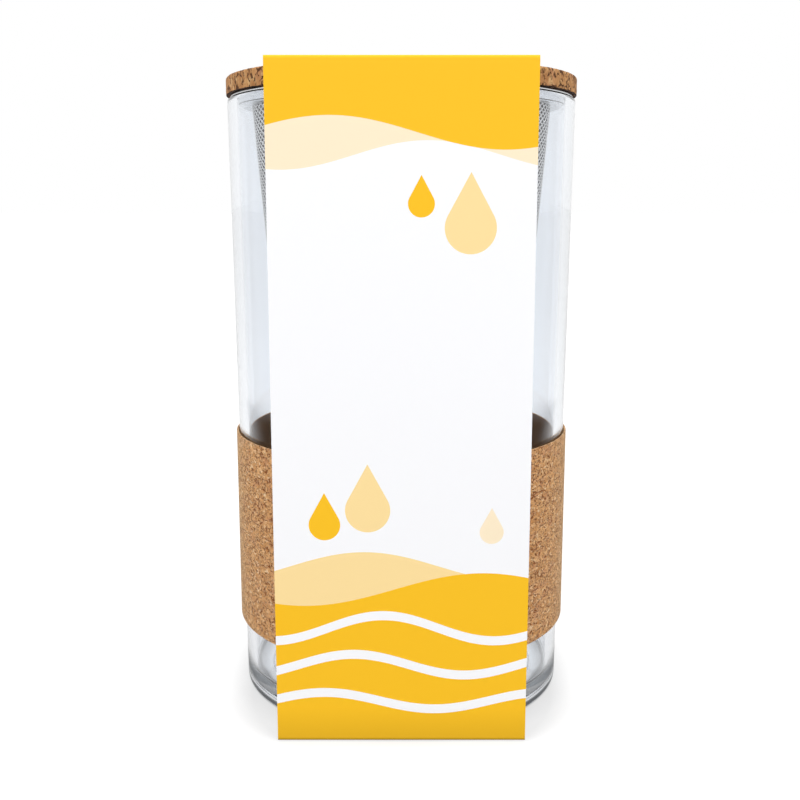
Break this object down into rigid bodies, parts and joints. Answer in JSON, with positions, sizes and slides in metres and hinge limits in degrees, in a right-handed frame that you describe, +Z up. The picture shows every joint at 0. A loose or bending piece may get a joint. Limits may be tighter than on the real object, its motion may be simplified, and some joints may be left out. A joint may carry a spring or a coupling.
{
  "type": "hydroponic jar planter",
  "caption": "Clear glass tumbler with a hanging mesh net pot and wick, cork lid, cork sleeve and a folded card band: grows herbs in water on a table.",
  "frame": {"origin": "on the table under the middle of the tumbler's base", "axes": "+Z up, the band's front panel faces -Y, +X to the right as seen from the front"},
  "size_m": [0.102, 0.1036, 0.1821],
  "materials": {
    "clear_glass": "polished",
    "cork_sheet": "matte",
    "lid_cork": "matte",
    "pressed_steel": "satin",
    "steel_mesh": "satin",
    "wick_felt": "matte",
    "coir": "matte",
    "leaflet_paper": "matte",
    "packet_paper": "matte",
    "sachet_film": "gloss",
    "carbon_cloth": "matte",
    "printed_card": "satin"
  },
  "bodies": {
    "jar": {"glass_tumbler": "clear_glass"},
    "sleeve": {"cork_sleeve": "cork_sheet"},
    "net_pot": {"net_pot_rim": "pressed_steel", "net_pot_mesh": "steel_mesh", "net_pot_base": "pressed_steel", "wick": "wick_felt", "growing_medium": "coir"},
    "packets": {"leaflet": "leaflet_paper", "seed_packet_front": "packet_paper", "seed_packet_back": "packet_paper", "plant_food_sachet": "sachet_film", "carbon_sachet": "carbon_cloth"},
    "lid": {"lid_disc": "lid_cork", "lid_plug": "lid_cork"},
    "band": {"card_band": "printed_card"}
  },
  "joints": [
    {"name": "sleeve_slide", "type": "slide", "parent": "jar", "child": "sleeve", "axis": [0, 0, 1], "range_m": [-0.0206, 0]},
    {"name": "net_pot_lift", "type": "slide", "parent": "jar", "child": "net_pot", "axis": [0, 0, 1], "range_m": [0, 0.172]},
    {"name": "packets_lift", "type": "slide", "parent": "net_pot", "child": "packets", "axis": [0, 0, 1], "range_m": [0, 0.08]},
    {"name": "lid_lift", "type": "slide", "parent": "packets", "child": "lid", "axis": [0, 0, 1], "range_m": [0, 0.06]},
    {"name": "band_lift", "type": "slide", "parent": "lid", "child": "band", "axis": [0, 0, 1], "range_m": [0, 0.185]}
  ]
}
